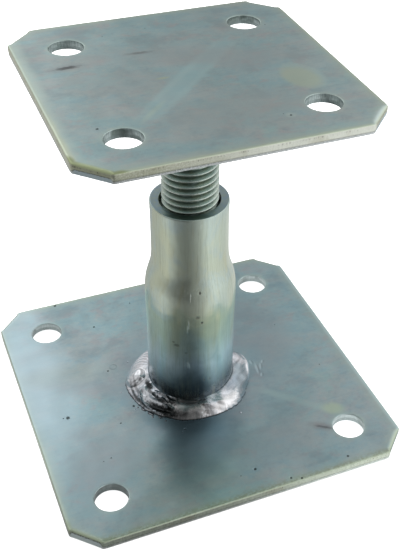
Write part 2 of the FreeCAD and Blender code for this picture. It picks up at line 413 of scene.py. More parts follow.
def base_weld(name):
    n, m = 960, 38
    z0 = BASE_T
    verts, faces = [], []
    for i in range(n):
        deg = (90.0 + 360.0 * i / n) % 360
        a = math.radians(deg)
        ca, sa = math.cos(a), math.sin(a)
        t = math.radians((deg - 90) % 360) * 24.0
        ragged = window(deg, 303, 20, 6) + 0.6 * window(deg, 205, 22, 8)
        crumple = window(deg, 207, 24, 7)
        smooth_side = window(deg, 318, 58, 14)
        back = window(deg, 80, 62, 18)
        ro = TOE(deg) + 0.22 * n3(ca * 6, sa * 6, 1.0)
        fray = 0.14 * n3(ca * 24, sa * 24, 3.0) + 0.60 * ragged * n3(ca * 20, sa * 20, 5.0)
        hh = CREST(deg) + 0.22 * n3(ca * 5, sa * 5, 6.0)
        bulge = BULGE(deg)
        length = math.hypot(ro - TUBE_IN, hh)
        nr, nz = hh / length, (ro - TUBE_IN) / length
        for k in range(m):
            s = k / (m - 1)
            q = s * length
            r = ro + (TUBE_IN - ro) * s + fray * (1 - s) ** 7
            z = z0 - 0.04 + (hh + 0.04) * s
            env = math.sin(math.pi * s ** 0.88) ** 0.72 if 0 < s < 1 else 0.0
            d = bulge
            # stacked crescents at the back and either side
            lead = (t + 2.6 * math.sin(math.pi * s) + 0.9 * n3(ca * 3, sa * 3, s * 2)) / 2.1
            w = lead % 1.0
            crescent = (w / 0.7 if w < 0.7 else (1 - w) / 0.3) - 0.5
            d += 0.30 * crescent * (back + 0.25 * window(deg, 150, 14, 6))
            # smooth run on the right, drawn out in slanting strokes
            d += smooth_side * (
                0.75 * n3((t + 1.1 * q) / 6.5, (q - 0.5 * t) / 7.5, 2.7) + 0.22 * n3((t + 1.3 * q) / 3.0, (q - 0.5 * t) / 6.0, 6.1)
            )
            d += window(deg, 357, 16, 6) * 0.55 * math.exp(-(((s - 0.16) / 0.09) ** 2))
            # flattened, finely combed run at the front
            d += window(deg, 248, 15, 6) * (0.015 * n3(t / 1.0, q / 7.0, 3.3) + 0.35 * n3(t / 5.5, q / 6.0, 3.9) - 0.25 * math.exp(-(((s - 0.80) / 0.07) ** 2)))
            # torn and folded start of the bead, front left
            qq, tt = q + 0.30 * t, t - 0.15 * q
            fold = 1.35 * ridge(tt / 7.5, qq / 3.8, 2.4) + 0.28 * ridge(tt / 3.6 + 4, qq / 2.3, 8.4)
            valley = math.exp(-(((s - 0.30) / 0.11) ** 2)) * window(deg, 217, 14, 6)
            d += crumple * (fold - 0.25) - 1.1 * valley
            # general unevenness
            d += 0.18 * n3(ca * 6, sa * 6, s * 2.4) + 0.012 * n3(ca * 20, sa * 20, s * 8.0)
            d *= env
            # the round stop of the bead, with rings in it
            dx = math.radians(((deg - 168 + 180) % 360) - 180) * 25.2
            dy = (s - 0.47) * length
            rad = math.hypot(dx, dy * 0.94)
            if rad < 5.0:
                dome = 2.3 * math.sqrt(max(0.0, 1 - (rad / 5.0) ** 2)) + 0.1
                off = math.hypot(dx + 1.3, dy + 0.8) + 0.5 * n3(dx / 2.4, dy / 2.4, 6.6)
                arc = smooth01(0.5 + 0.9 * (dx * 0.4 + dy * -0.8) / 4.0 + 0.6 * n3(dx / 3.0, dy / 3.0, 1.1))
                dome += 0.13 * math.sin(off * 2 * math.pi / 1.7) * smooth01((5.0 - rad) / 2.5) * arc
                dome += 0.34 * n3(dx / 2.6, dy / 1.9, 4.4)
                d = max(d, dome * min(1.0, env * 1.25))
            verts.append(((r + nr * d) * ca, (r + nr * d) * sa, max(z0 - 0.04, z + nz * d)))
    for i in range(n):
        j = (i + 1) % n
        for k in range(m - 1):
            faces.append((i * m + k, j * m + k, j * m + k + 1, i * m + k + 1))
    # hidden back of the bead, against the tube and the plate
    start = len(verts)
    for i in range(n):
        a = math.radians(90.0 + 360.0 * i / n)
        verts.append((TUBE_IN * math.cos(a), TUBE_IN * math.sin(a), z0 - 0.04))
    for i in range(n):
        j = (i + 1) % n
        faces.append((i * m + m - 1, j * m + m - 1, start + j, start + i))
        faces.append((start + i, start + j, j * m, i * m))
    # spatter beads on the plate
    spots = [
        (-24.6, -17.9, 0.55, 0.6, 0),
        (-33.0, 2.0, 0.4, 0.4, 0), (-30.5, -10.6, 0.35, 0.35, 0), (13.0, -29.5, 0.4, 0.5, 20), (24.0, 19.0, 0.5, 0.6, 10),
        (-8.0, 31.5, 0.55, 0.5, 40), (3.0, 30.5, 0.35, 0.4, 0), (-24.0, 20.5, 0.4, 0.45, 0),
        (-26.9, -12.2, 1.5, 0.55, -58), (-24.7, -15.9, 1.9, 0.6, -50), (-21.4, -19.4, 1.2, 0.5, -44), (-19.9, -22.3, 0.5, 0.4, -40),
        (-28.9, -9.9, 0.5, 0.45, 0), (-29.6, 1.2, 0.35, 0.5, 0),
    ]
    for x, y, rx, ry, rot in spots:
        start = len(verts)
        c, s_ = math.cos(math.radians(rot)), math.sin(math.radians(rot))
        for ring in range(6):
            f = math.sin(math.pi / 2 * (1 - ring / 5)) if ring < 5 else 0.0
            h = math.cos(math.pi / 2 * (1 - ring / 5))
            for i in range(18):
                a = 2 * math.pi * i / 18
                px, py = rx * f * math.cos(a), ry * f * math.sin(a)
                verts.append((x + px * c - py * s_, y + px * s_ + py * c, z0 - 0.03 + (0.03 + 0.55 * min(rx, ry)) * h))
        for ring in range(5):
            for i in range(18):
                j = (i + 1) % 18
                faces.append((start + ring * 18 + i, start + ring * 18 + j, start + (ring + 1) * 18 + j, start + (ring + 1) * 18 + i))
    ob = make_mesh(name, verts, faces)
    weld_and_clean(ob, 0.002)
    return ob


def top_weld(name):
    n, m = 420, 16
    z0 = TOP_Z0
    verts, faces = [], []
    for i in range(n):
        deg = 360.0 * i / n
        a = math.radians(deg)
        ca, sa = math.cos(a), math.sin(a)
        ro = 16.2 + 0.22 * n3(ca * 5 + 7, sa * 5, 1.0) + 0.10 * n3(ca * 15, sa * 15, 3.0)
        hh = 4.1 + 0.22 * n3(ca * 4, sa * 4 + 3, 6.0)
        ri = 10.1
        for k in range(m):
            s = k / (m - 1)
            r = ro + (ri - ro) * s
            z = z0 - hh * min(1.0, s * 1.35)
            env = math.sin(math.pi * s) ** 0.7 if 0 < s < 1 else 0.0
            lead = deg / 360 * 2 * math.pi * 14 / 1.9 + 0.8 * math.sin(math.pi * s)
            d = env * (0.35 + (0.5 - abs((lead % 1.0) - 0.35)) * 0.26 + 0.10 * n3(ca * 11, sa * 11, s * 3))
            verts.append(((r + 0.7 * d) * ca, (r + 0.7 * d) * sa, max(z0 - 4.5, min(z0, z - 0.7 * d))))
    for i in range(n):
        j = (i + 1) % n
        for k in range(m - 1):
            faces.append((i * m + k, i * m + k + 1, j * m + k + 1, j * m + k))
    start = len(verts)
    for i in range(n):
        a = 2 * math.pi * i / n
        verts.append((10.1 * math.cos(a), 10.1 * math.sin(a), z0))
    for i in range(n):
        j = (i + 1) % n
        faces.append((i * m + m - 1, start + i, start + j, j * m + m - 1))
        faces.append((start + i, i * m, j * m, start + j))
    ob = make_mesh(name, verts, faces)
    weld_and_clean(ob, 0.002)
    return ob


# ------------------------------------------------------------------ material help
class Tree:
    def __init__(self, name):
        self.mat = bpy.data.materials.new(name)
        self.mat.use_nodes = True
        self.nt = self.mat.node_tree
        self.nt.nodes.clear()
        self.out = self.nt.nodes.new("ShaderNodeOutputMaterial")
        self.bsdf = self.nt.nodes.new("ShaderNodeBsdfPrincipled")
        self.nt.links.new(self.bsdf.outputs[0], self.out.inputs["Surface"])
        co = self.nt.nodes.new("ShaderNodeTexCoord")
        mp = self.nt.nodes.new("ShaderNodeVectorMath")
        mp.operation = "SCALE"
        mp.inputs["Scale"].default_value = 1000.0
        self.nt.links.new(co.outputs["Object"], mp.inputs[0])
        self.P = mp.outputs[0]  # position in mm
        sep = self.nt.nodes.new("ShaderNodeSeparateXYZ")
        self.nt.links.new(self.P, sep.inputs[0])
        self.x, self.y, self.z = sep.outputs
        geo = self.nt.nodes.new("ShaderNodeNewGeometry")
        sn = self.nt.nodes.new("ShaderNodeSeparateXYZ")
        tr = self.nt.nodes.new("ShaderNodeVectorTransform")
        tr.vector_type = "NORMAL"
        tr.convert_from, tr.convert_to = "WORLD", "OBJECT"
        self.nt.links.new(geo.outputs["Normal"], tr.inputs[0])
        self.nt.links.new(tr.outputs[0], sn.inputs[0])
        self.nx, self.ny, self.nz = sn.outputs

    def put(self, sock, v):
        if isinstance(v, bpy.types.NodeSocket):
            self.nt.links.new(v, sock)
        elif v is not None:
            if hasattr(sock.default_value, "__len__") and not hasattr(v, "__len__"):
                v = (v,) * len(sock.default_value)
            if hasattr(v, "__len__") and len(sock.default_value) == 4 and len(v) == 3:
                v = (*v, 1.0)
            sock.default_value = v

    def m(self, op, a, b=None, c=None, clamp=False):
        n = self.nt.nodes.new("ShaderNodeMath")
        n.operation = op
        n.use_clamp = clamp
        self.put(n.inputs[0], a)
        if b is not None:
            self.put(n.inputs[1], b)
        if c is not None:
            self.put(n.inputs[2], c)
        return n.outputs[0]

    def vec(self, x, y, z):
        n = self.nt.nodes.new("ShaderNodeCombineXYZ")
        for s, v in zip(n.inputs, (x, y, z)):
            self.put(s, v)
        return n.outputs[0]

    def scaled(self, sx, sy, sz, rot=0.0, p=None):
        n = self.nt.nodes.new("ShaderNodeMapping")
        self.put(n.inputs["Vector"], p if p is not None else self.P)
        n.inputs["Scale"].default_value = (sx, sy, sz)
        n.inputs["Rotation"].default_value = (0, 0, rot)
        return n.outputs[0]

    def noise(self, vector, scale, detail=2.0, rough=0.5, dist=0.0, color=False):
        n = self.nt.nodes.new("ShaderNodeTexNoise")
        self.put(n.inputs["Vector"], vector)
        n.inputs["Scale"].default_value = scale
        n.inputs["Detail"].default_value = detail
        n.inputs["Roughness"].default_value = rough
        n.inputs["Distortion"].default_value = dist
        return n.outputs["Color" if color else 0]

    def span(self, v, a, b, c=0.0, d=1.0, smooth=True):
        n = self.nt.nodes.new("ShaderNodeMapRange")
        n.interpolation_type = "SMOOTHSTEP" if smooth else "LINEAR"
        for s, q in zip(n.inputs[:5], (v, a, b, c, d)):
            self.put(s, q)
        return n.outputs[0]

    def mix(self, f, a, b, blend="MIX"):
        n = self.nt.nodes.new("ShaderNodeMix")
        n.data_type = "RGBA"
        n.blend_type = blend
        self.put(n.inputs[0], f)
        self.put(n.inputs[6], a)
        self.put(n.inputs[7], b)
        return n.outputs[2]

    def ramp(self, f, stops):
        n = self.nt.nodes.new("ShaderNodeValToRGB")
        self.put(n.inputs[0], f)
        el = n.color_ramp.elements
        while len(el) > 1:
            el.remove(el[-1])
        el[0].position, el[0].color = stops[0][0], (*stops[0][1], 1)
        for p, c in stops[1:]:
            e = el.new(p)
            e.color = (*c, 1)
        return n.outputs[0]

    def bump(self, height, strength, distance, normal=None):
        n = self.nt.nodes.new("ShaderNodeBump")
        n.inputs["Strength"].default_value = strength
        n.inputs["Distance"].default_value = distance * MM
        self.put(n.inputs["Height"], height)
        if normal is not None:
            self.put(n.inputs["Normal"], normal)
        return n.outputs[0]

    def ellipse(self, cx, cy, rx, ry, deg=0.0, soft=0.4, x=None, y=None, warp=None):
        """1 inside an ellipse, 0 outside, soft share of its radius at the rim."""
        dx = self.m("SUBTRACT", x or self.x, cx)
        dy = self.m("SUBTRACT", y or self.y, cy)
        c, s = math.cos(math.radians(deg)), math.sin(math.radians(deg))
        u = self.m("ADD", self.m("MULTIPLY", dx, c / rx), self.m("MULTIPLY", dy, s / rx))
        v = self.m("ADD", self.m("MULTIPLY", dx, -s / ry), self.m("MULTIPLY", dy, c / ry))
        d = self.m("SQRT", self.m("ADD", self.m("MULTIPLY", u, u), self.m("MULTIPLY", v, v)))
        if warp is not None:
            d = self.m("ADD", d, warp)
        return self.span(d, 1.0 - soft, 1.0 + soft, 1.0, 0.0)

    def pits(self, spots, z=None):
        """Smallest distance to any of the spots, in spot radii."""
        best = None
        for cx, cy, r in spots:
            n = self.nt.nodes.new("ShaderNodeVectorMath")
            n.operation = "DISTANCE"
            self.put(n.inputs[0], self.vec(self.x, self.y, 0.0))
            n.inputs[1].default_value = (cx, cy, 0.0)
            d = self.m("DIVIDE", n.outputs["Value"], r)
            best = d if best is None else self.m("MINIMUM", best, d)
        return best

    def finish(self, color, rough, metallic=1.0, normal=None):
        self.put(self.bsdf.inputs["Base Color"], color)
        self.put(self.bsdf.inputs["Roughness"], rough)
        self.bsdf.inputs["Metallic"].default_value = metallic
        if normal is not None:
            self.put(self.bsdf.inputs["Normal"], normal)
        return self.mat


def lin(r, g, b):
    return tuple((v / 255 / 12.92) if v <= 10 else ((v / 255 + 0.055) / 1.055) ** 2.4 for v in (r, g, b))


# ------------------------------------------------------------------ plate finish
def plate_material(name, side, cut, t, z0, pitch, seed, top):
    T = Tree(name)
    h = side / 2
    P = T.P
    flow = 0.10 if top else 0.42

    def put(mask, strength, color):
        nonlocal col
        col = T.mix(T.m("MULTIPLY", mask, strength), col, color)

    # passivation clouds: blue-grey, plain grey, a pinkish grey and some olive
    big = T.noise(T.scaled(0.55, 1.0, 1, flow + 0.1 * seed), 0.040, 3.0, 0.55, 0.9)
    mid = T.noise(T.scaled(0.75, 1.05, 1, flow), 0.13, 5.0, 0.66, 0.25)
    small = T.noise(T.scaled(0.80, 1.0, 1, flow), 0.42, 4.0, 0.68, 0.2)
    col = T.ramp(big, [
        (0.32, (0.39, 0.53, 0.56)), (0.44, (0.415, 0.535, 0.55)), (0.53, (0.445, 0.515, 0.525)),
        (0.61, (0.47, 0.505, 0.505)), (0.70, (0.42, 0.53, 0.525)),
    ])
    put(T.span(mid, 0.50, 0.68), 0.75, (0.50, 0.47, 0.475))
    put(T.span(mid, 0.48, 0.32), 0.60, (0.36, 0.50, 0.55))
    put(T.span(small, 0.52, 0.70), 0.45, (0.55, 0.57, 0.54))
    put(T.span(small, 0.48, 0.30), 0.42, (0.33, 0.41, 0.45))
    dapple = T.noise(T.scaled(0.8, 1.0, 1, flow), 0.075, 4.0, 0.62, 0.3)
    put(T.span(dapple, 0.50, 0.68), 0.40 if top else 0.46, (0.30, 0.36, 0.39))
    put(T.span(dapple, 0.48, 0.36), 0.22, (0.54, 0.62, 0.63))
    # rolling lines of the sheet, faint and long
    lines = T.noise(T.scaled(0.014, 0.75, 1, flow), 1.0, 4.0, 0.68)
    grain = T.noise(T.scaled(0.45, 1.0, 1, flow), 1.5, 3.0, 0.7)
    put(T.span(lines, 0.50, 0.74), 0.18, (0.30, 0.37, 0.39))
    put(T.span(lines, 0.46, 0.28), 0.10, (0.56, 0.64, 0.65))
    put(T.span(grain, 0.48, 0.80), 0.20, (0.30, 0.36, 0.39))
    speck = T.span(T.noise(P, 2.6, 3.0, 0.7), 0.66, 0.74)
    put(speck, 0.28, (0.56, 0.62, 0.64))

    ax, ay = T.m("ABSOLUTE", T.x), T.m("ABSOLUTE", T.y)
    side_d = T.m("SUBTRACT", h, T.m("MAXIMUM", ax, ay))
    diag_d = T.m("MULTIPLY", T.m("SUBTRACT", 2 * h - cut, T.m("ADD", ax, ay)), 0.7071)
    edge = T.m("MINIMUM", side_d, diag_d)
    on_cut = T.span(T.m("SUBTRACT", side_d, diag_d), 0.0, 1.2)
    wob = T.m("MULTIPLY", T.m("SUBTRACT", T.noise(P, 0.12, 2.0), 0.5), 3.2)
    rim = T.span(T.m("ADD", edge, wob), 0.9, 6.5, 1.0, 0.0)
    put(rim, 0.50, (0.55, 0.61, 0.53))
    rim2 = T.span(T.m("ADD", edge, T.m("MULTIPLY", wob, 0.35)), 0.6, 2.3, 1.0, 0.0)
    put(rim2, 0.60, (0.62, 0.65, 0.50))
    # browner, thicker burr along the near left corner
    burr = T.m("MULTIPLY", T.span(T.m("ADD", T.x, T.y), -(2 * h - cut - 7), -(2 * h - cut - 3)), T.span(T.m("ADD", edge, T.m("MULTIPLY", wob, 0.25)), 0.7, 2.6, 1.0, 0.0))
    if top:
        left = T.m("ADD", T.m("ADD", h, T.x), T.m("MULTIPLY", wob, 0.6))
        put(T.span(left, 1.0, 6.0, 1.0, 0.0), 0.40, (0.64, 0.72, 0.70))
        put(T.m("MULTIPLY", T.span(left, 0.8, 3.2, 1.0, 0.0), T.span(T.y, 10.0, -40.0)), 0.60, (0.72, 0.72, 0.54))
    put(burr, 0.80 if top else 0.15, (0.36, 0.385, 0.21))
    # distance to the nearest hole
    hd = T.nt.nodes.new("ShaderNodeVectorMath")
    hd.operation = "DISTANCE"
    T.put(hd.inputs[0], T.vec(ax, ay, 0.0))
    hd.inputs[1].default_value = (pitch / 2, pitch / 2, 0.0)
    hole = hd.outputs["Value"]
    halo = T.span(T.m("ADD", hole, T.m("MULTIPLY", wob, 0.5)), 7.2, 9.6, 1.0, 0.0)
    put(halo, 0.40, (0.56, 0.63, 0.56))
    at_hole = T.span(hole, 8.0, 7.7)

    flat = T.span(T.m("ABSOLUTE", T.nz), 0.90, 0.985)
    warp = T.m("MULTIPLY", T.m("SUBTRACT", T.noise(P, 0.06, 3.0), 0.5), 0.9)
    w2 = T.m("MULTIPLY", T.m("SUBTRACT", T.noise(P, 0.22, 3.0, 0.6), 0.5), 0.6)
    w3 = T.m("MULTIPLY", T.m("SUBTRACT", T.noise(T.scaled(0.5, 1.4, 1, 0.0), 0.9, 4.0, 0.7), 0.5), 2.4)
    if top:
        # pale band across the plate, brighter along its two sides
        put(T.ellipse(-2.0, -3.0, 40, 5.2, 45.5, 0.30, warp=T.m("MULTIPLY", w2, 0.8)), 0.64, (0.44, 0.61, 0.635))
        put(T.ellipse(-6.0, -2.6, 33, 1.2, 45.0, 0.8, warp=T.m("MULTIPLY", w2, 2.2)), 0.26, (0.56, 0.66, 0.65))
        put(T.ellipse(-1.0, -7.2, 36, 1.3, 45.0, 0.8, warp=T.m("MULTIPLY", w2, 2.2)), 0.24, (0.55, 0.66, 0.65))
        put(T.ellipse(-23.0, -24.0, 7.5, 1.2, 45.0, 0.8, warp=T.m("MULTIPLY", w2, 2.0)), 0.40, (0.62, 0.68, 0.57))
        put(T.ellipse(-10.9, 0.0, 2.4, 0.9, 0.0, 0.5, warp=w2), 0.55, (0.60, 0.61, 0.40))
        put(T.ellipse(8, 14, 34, 8, -20, 0.6, warp=warp), 0.50, (0.47, 0.475, 0.48))
        put(T.ellipse(-28, 2, 18, 7, -15, 0.6, warp=warp), 0.40, (0.455, 0.485, 0.49))
        put(T.ellipse(8, -32, 26, 11, 8, 0.6, warp=warp), 0.50, (0.48, 0.48, 0.475))
        put(T.ellipse(26, 2, 12, 7, 30, 0.6, warp=warp), 0.35, (0.445, 0.48, 0.50))
        # dried drop
        drop_w = T.m("MULTIPLY", w2, 0.35)
        put(T.ellipse(40.6, -15.8, 11.8, 7.6, -80, 0.14, warp=drop_w), 0.45, (0.52, 0.61, 0.57))
        put(T.ellipse(39.2, -16.8, 9.0, 6.6, -76, 0.30, warp=drop_w), 0.62, (0.55, 0.58, 0.45))
        put(T.ellipse(54.4, -54.4, 8.5, 2.4, 45, 0.5, warp=w2), 0.62, (0.76, 0.84, 0.86))
        smudge = T.ellipse(-42.8, 20.5, 4.0, 1.15, 3, 0.6, warp=w3)
        smudge2 = T.ellipse(-12.6, 24.1, 4.6, 0.9, -3, 0.7, warp=w3)
        put(T.ellipse(-42.6, 20.7, 6.6, 2.4, 2, 0.7, warp=warp), 0.36, (0.37, 0.36, 0.37))
        dark_marks = T.m("MAXIMUM", T.m("MULTIPLY", smudge, 0.86), T.m("MULTIPLY", smudge2, 0.45))
        spots = [(22.7, -43.2, 0.6), (-45.2, -29.3, 0.6), (20.6, -41.4, 0.25), (-3.0, 46.0, 0.3), (46.0, 33.0, 0.3), (-22.0, 44.0, 0.25)]
        put(T.span(T.pits([(22.7, -43.2, 2.0)]), 0.7, 1.3, 1.0, 0.0), 0.35, (0.60, 0.66, 0.62))
    else:
        # pale band along the left edge: painted reflection of the brighter surroundings on that side
        put(T.ellipse(-68, 28, 15, 56, 2, 0.7, warp=warp), 0.72, (0.66, 0.76, 0.81))
        put(T.ellipse(-50, -40, 24, 13, 20, 0.6, warp=warp), 0.35, (0.35, 0.39, 0.42))
        put(T.span(T.m("SUBTRACT", h, T.x), 0.5, 2.8, 1.0, 0.0), 0.55, (0.62, 0.74, 0.79))
        worn = T.m("MULTIPLY", T.span(T.m("ADD", T.m("ADD", h, T.y), wob), 0.6, 4.2, 1.0, 0.0), T.span(T.noise(P, 0.9, 4.0, 0.7), 0.36, 0.60))
        put(worn, 0.62, (0.36, 0.37, 0.25))
        put(T.ellipse(38, -30, 20, 2.1, -44, 0.6, warp=warp), 0.55, (0.52, 0.63, 0.60))
        put(T.ellipse(52.9, -42.6, 4.8, 3.4, -30, 0.5, warp=warp), 0.62, (0.60, 0.66, 0.47))
        put(T.ellipse(-50, -34, 18, 12, 20, 0.6, warp=warp), 0.50, (0.46, 0.475, 0.49))
        put(T.ellipse(-38, 6, 24, 5, -24, 0.6, warp=warp), 0.45, (0.46, 0.475, 0.495))
        put(T.ellipse(-52, 22, 20, 6, -10, 0.6, warp=warp), 0.35, (0.50, 0.54, 0.50))
        put(T.ellipse(46, 8, 22, 9, 70, 0.6, warp=warp), 0.50, (0.41, 0.43, 0.45))
        put(T.ellipse(34, 34, 14, 6, 20, 0.6, warp=warp), 0.40, (0.42, 0.44, 0.455))
        put(T.ellipse(10, -52, 28, 9, 10, 0.6, warp=warp), 0.45, (0.40, 0.44, 0.46))
        put(T.ellipse(0, 0, 38, 38, 0, 0.22, warp=T.m("MULTIPLY", warp, 0.6)), 0.34, (0.33, 0.38, 0.43))
        # darker patches on the plate in front of the tube: painted reflection of the tube
        put(T.ellipse(-8, -24, 26, 17, -66, 0.5, warp=warp), 0.40, (0.26, 0.33, 0.38))
        put(T.ellipse(-10, -25, 19, 7.0, -28, 0.45, warp=warp), 0.60, (0.12, 0.17, 0.19))
        put(T.ellipse(-11, -42, 22, 16, 62, 0.55, warp=warp), 0.76, (0.15, 0.20, 0.24))
        put(T.ellipse(34, 26, 22, 12, 70, 0.6, warp=warp), 0.35, (0.30, 0.36, 0.39))
        put(T.ellipse(30, -38, 18, 8, 30, 0.6, warp=warp), 0.30, (0.30, 0.36, 0.38))
        put(T.ellipse(43.4, -50.6, 5.6, 2.2, -34, 0.7, warp=w2), 0.50, (0.36, 0.30, 0.30))
        scratch = T.ellipse(43.9, -51.2, 3.6, 0.7, -34, 0.7, warp=w3)
        # dark marks: the scratch, and the dark pits listed below
        dark_marks = T.m("MULTIPLY", scratch, 0.58)
        spots = [
            (-45.7, 73.3, 0.7), (-31.9, 50.6, 0.55), (-34.5, 17.8, 0.45), (-59.5, -4.8, 0.9), (-30.2, -8.4, 0.6),
            (-38.7, -16.3, 0.4), (-48.6, -34.2, 0.35), (-13.7, -30.0, 0.5), (5.9, -62.3, 0.8), (45.9, -70.3, 0.65),
            (-1.1, -63.6, 0.3), (18.0, -72.3, 0.6), (22.2, -74.0, 0.6), (-61.5, -4.4, 0.35), (-15.3, -31.4, 0.3),
            (-52.0, -35.0, 0.25), (30.0, 44.0, 0.4), (52.0, 20.0, 0.3), (-10.0, 62.0, 0.4), (14.0, 57.0, 0.35), (60.0, -14.0, 0.3),
        ]
        # pale strokes of spatter, right of the tube
        for cx, cy, la, lb, dg in ((31.0, -5.8, 3.6, 0.6, 80), (33.2, -4.9, 2.1, 0.45, 70), (30.0, -0.8, 1.5, 0.5, 90), (35.2, -2.2, 1.1, 0.4, 58), (31.4, -10.4, 1.2, 0.4, 66)):
            put(T.ellipse(cx, cy, la, lb, dg, 0.5, warp=T.m("MULTIPLY", w2, 1.2)), 0.55, (0.66, 0.76, 0.79))
            put(T.ellipse(cx + 0.9, cy - 0.2, la * 0.8, 0.3, dg, 0.6, warp=T.m("MULTIPLY", w2, 1.6)), 0.35, (0.20, 0.24, 0.26))
        # small punched ring on the left
        ring_d = T.pits([(-31.5, 19.6, 1.0)])
        put(T.m("MULTIPLY", T.span(T.m("ABSOLUTE", T.m("SUBTRACT", ring_d, 1.6)), 0.15, 0.5, 1.0, 0.0), T.span(mid, 0.35, 0.55)), 0.5, (0.20, 0.24, 0.26))
    near_spot = T.m("ADD", T.pits(spots), T.m("MULTIPLY", T.m("SUBTRACT", T.noise(P, 2.2, 2.0), 0.5), 0.5))
    pit = T.m("MULTIPLY", T.span(near_spot, 0.55, 1.15, 1.0, 0.0), flat)
    put(pit, 0.82, (0.06, 0.07, 0.065))
    put(T.m("MULTIPLY", dark_marks, flat), 1.0, (0.11, 0.11, 0.115))

    # sheared edges and punched walls: a burnished zone over a duller torn zone
    zz = T.m("SUBTRACT", T.z, z0)
    side_face = T.span(T.m("ABSOLUTE", T.nz), 0.55, 0.80, 1.0, 0.0)
    roll = T.m("MULTIPLY", T.span(T.m("ABSOLUTE", T.nz), 0.985, 0.86, 0.0, 1.0), T.m("SUBTRACT", 1.0, side_face))
    put(T.m("MULTIPLY", roll, T.m("SUBTRACT", 1.0, at_hole)), 0.60, (0.66, 0.67, 0.50) if top else (0.52, 0.55, 0.38))
    put(burr, 0.78 if top else 0.30, (0.36, 0.385, 0.22))
    put(T.m("MULTIPLY", roll, at_hole), 0.50, (0.60, 0.66, 0.62))
    along = T.m("ADD", T.m("MULTIPLY", T.x, 1.9), T.m("MULTIPLY", T.y, 1.3))
    vert = T.noise(T.vec(along, T.m("MULTIPLY", T.m("SUBTRACT", T.x, T.y), 1.6), T.m("MULTIPLY", zz, 0.22)), 1.0, 3.0, 0.7)
    torn = T.noise(T.scaled(1, 1, 1.6), 1.5, 4.0, 0.75)
    patchy = T.noise(P, 0.10, 3.0, 0.6)
    if top:
        hi_a, hi_b, lo_a, lo_b = (0.86, 0.88, 0.79), (0.72, 0.76, 0.66), (0.80, 0.83, 0.82), (0.52, 0.58, 0.58)
    else:
        hi_a, hi_b, lo_a, lo_b = (0.76, 0.83, 0.70), (0.46, 0.53, 0.42), (0.88, 0.95, 0.89), (0.54, 0.61, 0.57)
    burn = T.mix(T.m("ADD", T.m("MULTIPLY", T.span(vert, 0.35, 0.70), 0.4), T.m("MULTIPLY", T.span(torn, 0.40, 0.66), 0.6)), hi_a, hi_b)
    burn = T.mix(T.span(patchy, 0.50, 0.66, 0.0, 0.40), burn, (0.50, 0.48, 0.36))
    burn = T.mix(T.m("MULTIPLY", on_cut, 0.55), burn, (0.36, 0.40, 0.25))
    if top:
        burn = T.mix(T.m("MULTIPLY", T.span(T.x, 15.0, -45.0), T.span(torn, 0.34, 0.60, 0.25, 0.85)), burn, (0.46, 0.48, 0.33))
    tear = T.mix(T.span(torn, 0.35, 0.70), lo_a, lo_b)
    split = T.m("MULTIPLY", t, T.m("ADD", 0.28 if top else 0.36, T.m("MULTIPLY", on_cut, 0.23 if top else 0.46)))
    split = T.m("ADD", split, T.m("MULTIPLY", at_hole, t * 0.14))
    zmark = T.m("SUBTRACT", T.m("ADD", zz, T.m("MULTIPLY", T.m("SUBTRACT", torn, 0.5), 0.9)), split)
    low = T.span(zmark, -0.25, 0.25, 1.0, 0.0)
    edge_col = T.mix(low, burn, tear)
    edge_col = T.mix(T.m("MULTIPLY", low, on_cut), edge_col, (0.52, 0.62, 0.65) if top else (0.84, 0.95, 0.94))
    seam = T.m("MULTIPLY", T.span(T.m("ABSOLUTE", zmark), 0.05, 0.55, 1.0, 0.0), T.span(torn, 0.36, 0.6, 0.35, 1.0))
    seam = T.m("MULTIPLY", seam, T.m("ADD", 0.55, T.m("MULTIPLY", on_cut, 0.45)))
    edge_col = T.mix(T.m("MULTIPLY", seam, 0.92), edge_col, (0.05, 0.055, 0.035))
    # nicks and brown marks just under the rolled edge
    nick = T.m("MULTIPLY", T.span(T.m("ABSOLUTE", T.m("SUBTRACT", zz, t - 0.85)), 0.0, 0.55, 1.0, 0.0), T.span(vert, 0.50, 0.66))
    edge_col = T.mix(T.m("MULTIPLY", nick, T.m("MULTIPLY", T.span(patchy, 0.40, 0.60), 0.75)), edge_col, (0.12, 0.11, 0.08))
    wall = T.mix(T.span(vert, 0.30, 0.72), (0.60, 0.70, 0.69), (0.33, 0.40, 0.39))
    wall = T.mix(T.span(T.noise(P, 0.16, 2.0), 0.46, 0.62, 0.0, 0.75), wall, (0.13, 0.17, 0.15))
    if not top:
        wall = T.mix(0.35, wall, (0.80, 0.90, 0.90))
    wall = T.mix(T.m("MULTIPLY", low, 0.35), wall, (0.26, 0.32, 0.32))
    edge_col = T.mix(at_hole, edge_col, wall)
    col = T.mix(1.0, col, (0.955, 1.02, 1.0) if top else (0.94, 1.03, 1.05), "MULTIPLY")
    col = T.mix(side_face, col, edge_col)

    # relief
    n1 = T.bump(T.noise(P, 0.028, 2.0, 0.5), 0.40, 2.2)
    fine = T.m("ADD", T.m("MULTIPLY", grain, 0.6), T.m("MULTIPLY", lines, 0.7))
    n2 = T.bump(fine, 0.20, 0.07, n1)
    n3_ = T.bump(T.noise(P, 6.0, 2.0, 0.6), 0.10, 0.02, n2)
    n4 = T.bump(T.m("MULTIPLY", pit, -1.0), 0.8, 0.25, n3_)
    n5 = T.bump(T.m("MULTIPLY", T.m("ADD", torn, T.m("MULTIPLY", vert, 0.8)), side_face), 0.6, 0.20, n4)

    rough = T.m("ADD", 0.26, T.m("MULTIPLY", big, 0.12))
    rough = T.m("ADD", rough, T.m("MULTIPLY", T.span(lines, 0.4, 0.8), 0.06))
    rough = T.m("ADD", rough, T.m("MULTIPLY", T.m("MULTIPLY", side_face, low), 0.14))
    rough = T.m("ADD", rough, T.m("MULTIPLY", pit, 0.3), clamp=True)
    return T.finish(col, rough, 1.0, n5)


